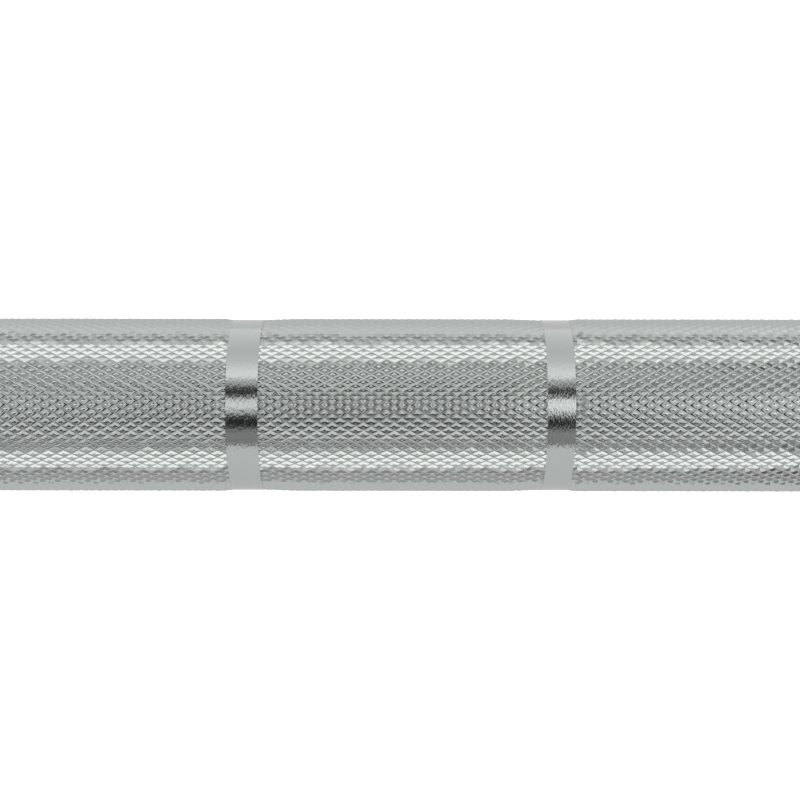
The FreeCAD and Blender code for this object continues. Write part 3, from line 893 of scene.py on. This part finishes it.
@dataclass
class Sleeve:
    """One loading sleeve: its tube, its collar and the cap in its end."""

    end: End
    slot: str = "sleeve_chrome"
    start: float = 659 * MM
    tip: float = 1100 * MM
    collar_face: float = 655 * MM
    collar_back: float = 685 * MM
    register: float = 683 * MM
    relief_end: float = 686 * MM
    seal_end: float = 664 * MM
    bearing_end: float = 717.3 * MM
    outer_bearing: float = 1024 * MM
    chamber_floor: float = 1073 * MM
    cap_seat: float = 1088 * MM
    cap_face: float = 1094 * MM
    ring_groove_start: float = 1093.95 * MM
    ring_groove_end: float = 1095.8 * MM
    radius: float = 25 * MM
    relief_radius: float = 24.7 * MM
    spigot_radius: float = 23 * MM
    seal_radius: float = 19 * MM
    bore_radius: float = 16 * MM
    waist_radius: float = 14 * MM
    chamber_radius: float = 20 * MM
    cap_seat_radius: float = 21 * MM
    ring_groove_radius: float = 22.25 * MM
    cap_radius: float = 20.95 * MM
    dish_radius: float = 15 * MM
    dish_depth: float = 0.6 * MM
    collar_radius: float = 36 * MM
    mouth_radius: float = 14.75 * MM
    mouth_chamfer: float = 0.8 * MM
    nose_chamfer: float = 2 * MM
    collar_rounding: float = 2.5 * MM
    edge_rounding: float = 0.25 * MM
    cap_chamfer: float = 0.8 * MM

    @property
    def body(self) -> str:
        """The body that the sleeve's pieces move with."""
        return self.end.node("sleeve")

    def build(self) -> None:
        """Makes the tube, the collar and the end cap."""
        for name, profile, finish, slot in (
            ("sleeve_tube", self.tube(), SLEEVE_CHROME, self.slot),
            ("inner_collar", self.collar(), SLEEVE_CHROME, self.slot),
            ("end_cap", self.cap(), CAP_ALUMINIUM, "cap_aluminium"),
        ):
            mesh = turned_mesh(f"{self.end.node(name)}_finish", profile.outline(self.end))
            place_piece(mesh, finish, self.body, slot, self.end.node(name))

    def tube(self) -> Profile:
        """Outline of the tube, with its spigot, undercut, bevelled nose and stepped bore."""
        soft = self.edge_rounding
        outline = Profile().to(self.start, self.seal_radius).to(self.start, self.spigot_radius)
        outline.to(self.register, self.spigot_radius).to(self.register, self.relief_radius)
        outline.to(self.relief_end, self.relief_radius).to(self.relief_end, self.radius, soft)
        outline.to(self.tip - self.nose_chamfer, self.radius, soft)
        outline.to(self.tip, self.radius - self.nose_chamfer, soft).to(self.tip, self.cap_seat_radius, soft)
        outline.to(self.ring_groove_end, self.cap_seat_radius)
        outline.to(self.ring_groove_end, self.ring_groove_radius)
        outline.to(self.ring_groove_start, self.ring_groove_radius)
        outline.to(self.ring_groove_start, self.cap_seat_radius)
        outline.to(self.cap_seat, self.cap_seat_radius).to(self.cap_seat, self.chamber_radius)
        outline.to(self.chamber_floor, self.chamber_radius).to(self.chamber_floor, self.bore_radius)
        outline.to(self.outer_bearing, self.bore_radius).to(self.outer_bearing, self.waist_radius)
        outline.to(self.bearing_end, self.waist_radius).to(self.bearing_end, self.bore_radius)
        return outline.to(self.seal_end, self.bore_radius).to(self.seal_end, self.seal_radius)

    def collar(self) -> Profile:
        """Outline of the collar, with rounded rims and a bevelled mouth."""
        outline = Profile().to(self.collar_face + self.mouth_chamfer, self.mouth_radius)
        outline.to(self.collar_face, self.mouth_radius + self.mouth_chamfer, self.edge_rounding)
        outline.to(self.collar_face, self.collar_radius, self.collar_rounding)
        outline.to(self.collar_back, self.collar_radius, self.collar_rounding)
        outline.to(self.collar_back, self.radius).to(self.register, self.radius)
        outline.to(self.register, self.spigot_radius).to(self.start, self.spigot_radius)
        return outline.to(self.start, self.mouth_radius)

    def cap(self) -> Profile:
        """Outline of the end cap, with bevelled rims and a shallow bare dish."""
        soft = self.edge_rounding
        outline = Profile().to(self.cap_seat, 0).to(self.cap_seat, self.cap_radius - self.cap_chamfer)
        outline.to(self.cap_seat + self.cap_chamfer, self.cap_radius)
        outline.to(self.cap_face - self.cap_chamfer, self.cap_radius)
        outline.to(self.cap_face, self.cap_radius - self.cap_chamfer)
        outline.to(self.cap_face, self.dish_radius, soft)
        outline.to(self.cap_face - self.dish_depth, self.dish_radius, soft)
        return outline.to(self.cap_face - self.dish_depth, 0)


@dataclass
class RunningGear:
    """What runs inside the sleeves: CAD nodes that keep their shape and get their real finish."""

    nodes: dict[str, bpy.types.Object]
    finishes: tuple[tuple[str, Finish], ...] = (
        ("dust_seal", SEAL_RUBBER),
        ("thrust_washer", WASHER_STEEL),
        ("bush", BUSH_BRONZE),
        ("bearing_cup", CUP_STEEL),
        ("bearing_cage", CAGE_STEEL),
        ("bearing_needles", NEEDLE_STEEL),
        ("snap_ring", RING_STEEL),
    )

    def dress(self) -> None:
        """Gives each node the finish of its kind."""
        for name, node in self.nodes.items():
            for kind, finish in self.finishes:
                if name.endswith(kind):
                    node.data.materials.clear()
                    node.data.materials.append(finish.material())
                    LOG.info("%s: %s", name, finish.name)


@dataclass
class Studio:
    """The floor, the light tent and the camera."""

    floor_level: float
    floor_reach: float = 40.0
    floor_colour: str = "#b0b0b0"
    # The floor's own glow, and how much is added to it where the camera sees it directly
    floor_glow: float = 0.41
    floor_glow_seen: float = 0.6
    # The point that the camera looks at, how far above it the camera is aimed, and where the camera is
    aim: Vector = field(default_factory=lambda: Vector((429.74 * MM, 0, 0)))
    aim_rise: float = 0.82 * MM
    distance: float = 255 * MM
    elevation: float = math.radians(56)
    roll: float = math.radians(0.08)
    lens: float = 69.64
    sensor: float = 36.0
    clip_start: float = 2.55 * MM
    tent_strength: float = 1.16
    # Panels before and behind the bar: each one's angle above the front horizon, in degrees, and its level
    front_panels: tuple[tuple[float, float], ...] = (
        (0, 0.21),
        (8, 0.24),
        (19, 0.27),
        (24, 0.16),
        (28, 0.02),
        (39, 0.02),
        (44, 0.2),
        (49, 0.5),
        (54, 0.78),
        (59, 0.8),
        (64, 0.45),
        (68, 0.07),
        (72, 0.03),
        (79, 0.05),
        (82, 0.40),
        (89, 0.46),
        (93, 0.95),
        (103, 0.85),
        (117, 0.65),
        (134, 0.60),
        (153, 0.68),
        (180, 0.80),
    )
    # How far aside the middle of those panels is: below zero is to the left
    front_aside: float = math.radians(-4)
    # Walls at both sides of them, by angle and level too, and how far aside they start and are full
    side_walls: tuple[tuple[float, float], ...] = (
        (0, 0.4),
        (20, 0.4),
        (27, 0.28),
        (37, 0.3),
        (44, 0.7),
        (66, 0.7),
        (72, 0.4),
        (84, 0.3),
        (90, 0.5),
        (96, 0.75),
        (125, 0.62),
        (180, 0.62),
    )
    wall_start: float = math.radians(14)
    wall_full: float = math.radians(28)
    # Lit windows in the walls: their level, how far aside they start and are full, their middle above the
    # horizon, half height, growth sideways and soft edge
    window_level: float = 1.2
    window_start: float = math.radians(6)
    window_full: float = math.radians(20)
    window_middle: float = math.radians(54)
    window_half_height: float = math.radians(5)
    window_growth: float = math.radians(20)
    window_softness: float = math.radians(7)

    def build(self) -> None:
        """Makes the floor, the light and the camera, and sets how the picture is shown."""
        self.lay_floor()
        self.hang_tent()
        self.place_camera()
        bpy.context.scene.view_settings.view_transform = "Standard"

    def lay_floor(self) -> None:
        """A plain pale floor that glows faintly, so that the bar's shadow stays light."""
        reach = self.floor_reach
        mesh = bpy.data.meshes.new("floor")
        corners = [(x, y, self.floor_level) for x, y in ((-1, -1), (1, -1), (1, 1), (-1, 1))]
        mesh.from_pydata([(x * reach, y * reach, z) for x, y, z in corners], [], [(0, 1, 2, 3)])
        floor = bpy.data.objects.new("floor", mesh)
        bpy.context.scene.collection.objects.link(floor)
        finish = bpy.data.materials.new("pale_floor")
        finish.use_nodes = True
        tree = finish.node_tree
        tree.nodes.clear()
        seen = add_node(tree, "ShaderNodeLightPath").outputs["Is Camera Ray"]
        glow = add_node(
            tree,
            "ShaderNodeMath",
            {0: seen, 1: self.floor_glow_seen, 2: self.floor_glow},
            operation="MULTIPLY_ADD",
        )
        shader = add_node(
            tree,
            "ShaderNodeBsdfPrincipled",
            {
                "Base Color": linear(self.floor_colour),
                "Roughness": 1.0,
                "Specular IOR Level": 0.0,
                "Emission Color": linear("#ffffff"),
                "Emission Strength": glow,
            },
        )
        add_node(tree, "ShaderNodeOutputMaterial", {"Surface": shader.outputs["BSDF"]})
        mesh.materials.append(finish)
        floor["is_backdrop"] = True

    def hang_tent(self) -> None:
        """Soft light from all round: long panels and gaps along the bar, white where seen directly."""
        world = bpy.data.worlds.new("light_tent")
        bpy.context.scene.world = world
        world.use_nodes = True
        tree = world.node_tree
        tree.nodes.clear()
        place = add_node(
            tree,
            "ShaderNodeSeparateXYZ",
            {0: add_node(tree, "ShaderNodeTexCoord").outputs["Generated"]},
        )
        front = add_node(tree, "ShaderNodeMath", {0: place.outputs["Y"], 1: -1.0}, operation="MULTIPLY")
        angle = add_node(tree, "ShaderNodeMath", {0: place.outputs["Z"], 1: front}, operation="ARCTAN2")
        share = add_node(tree, "ShaderNodeMath", {0: angle, 1: math.pi}, operation="DIVIDE")
        ramps = []
        for panels in (self.front_panels, self.side_walls):
            ramp = add_node(tree, "ShaderNodeValToRGB", {"Fac": share})
            stops = ramp.color_ramp.elements
            while len(stops) < len(panels):
                stops.new(1.0)
            for stop, (degrees, level) in zip(stops, panels):
                stop.position = degrees / HALF_TURN
                stop.color = (level, level, level, 1.0)
            ramps.append(ramp)
        offset = add_node(
            tree,
            "ShaderNodeMath",
            {0: place.outputs["X"], 1: math.sin(self.front_aside)},
            operation="SUBTRACT",
        )
        aside = add_node(tree, "ShaderNodeMath", {0: offset}, operation="ABSOLUTE")
        behind_wall, across_window = (
            add_node(
                tree,
                "ShaderNodeMapRange",
                {"Value": aside, "From Min": math.sin(first), "From Max": math.sin(last)},
                interpolation_type="SMOOTHSTEP",
            )
            for first, last in ((self.wall_start, self.wall_full), (self.window_start, self.window_full))
        )
        walled = add_node(
            tree,
            "ShaderNodeMix",
            {"Factor": behind_wall, MIX_FIRST: ramps[0], MIX_SECOND: ramps[1]},
            data_type="RGBA",
        )
        above = add_node(tree, "ShaderNodeMath", {0: angle, 1: self.window_middle}, operation="SUBTRACT")
        height = add_node(tree, "ShaderNodeMath", {0: above}, operation="ABSOLUTE")
        past_edge = add_node(
            tree, "ShaderNodeMath", {0: aside, 1: -self.window_growth, 2: height}, operation="MULTIPLY_ADD"
        )
        tall = add_node(
            tree,
            "ShaderNodeMapRange",
            {
                "Value": past_edge,
                "From Min": self.window_half_height - self.window_softness,
                "From Max": self.window_half_height + self.window_softness,
                "To Min": 1.0,
                "To Max": 0.0,
            },
            interpolation_type="SMOOTHSTEP",
        )
        covered = add_node(tree, "ShaderNodeMath", {0: across_window, 1: tall}, operation="MULTIPLY")
        glass = (self.window_level,) * 3 + (1.0,)
        lit = add_node(
            tree,
            "ShaderNodeMix",
            {"Factor": covered, MIX_FIRST: walled, MIX_SECOND: glass},
            data_type="RGBA",
        )
        seen = add_node(tree, "ShaderNodeLightPath").outputs["Is Camera Ray"]
        shown = add_node(
            tree,
            "ShaderNodeMix",
            {"Factor": seen, MIX_FIRST: lit, MIX_SECOND: linear("#ffffff")},
            data_type="RGBA",
        )
        light = add_node(
            tree, "ShaderNodeBackground", {"Color": shown, "Strength": self.tent_strength}
        )
        add_node(tree, "ShaderNodeOutputWorld", {"Surface": light.outputs["Background"]})

    def place_camera(self) -> None:
        """A camera in front of the grip marks and above them, close to the bar."""
        data = bpy.data.cameras.new("camera")
        data.lens, data.sensor_width = self.lens, self.sensor
        data.clip_start = self.clip_start
        camera = bpy.data.objects.new("camera", data)
        bpy.context.scene.collection.objects.link(camera)
        back = Vector((0, -math.cos(self.elevation), math.sin(self.elevation)))
        turn = (-back).to_track_quat("-Z", "Y").to_matrix()
        turn = turn @ Matrix.Rotation(self.roll, 3, "Z")
        up = turn @ Vector((0, 1, 0))
        place = self.aim + up * self.aim_rise + back * self.distance
        camera.matrix_world = Matrix.Translation(place) @ turn.to_4x4()
        bpy.context.scene.camera = camera


def main() -> None:
    """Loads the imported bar, dresses it and sets the scene around it."""
    logging.basicConfig(level=logging.INFO, format="%(name)s: %(message)s")
    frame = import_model()
    cad_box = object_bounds()
    Studio(floor_level=cad_box[0].z).build()
    Shaft().build(KnurlTree())
    for end in End:
        Sleeve(end).build()
    RunningGear(frame["nodes"]).dress()


if __name__ == "__main__":
    main()
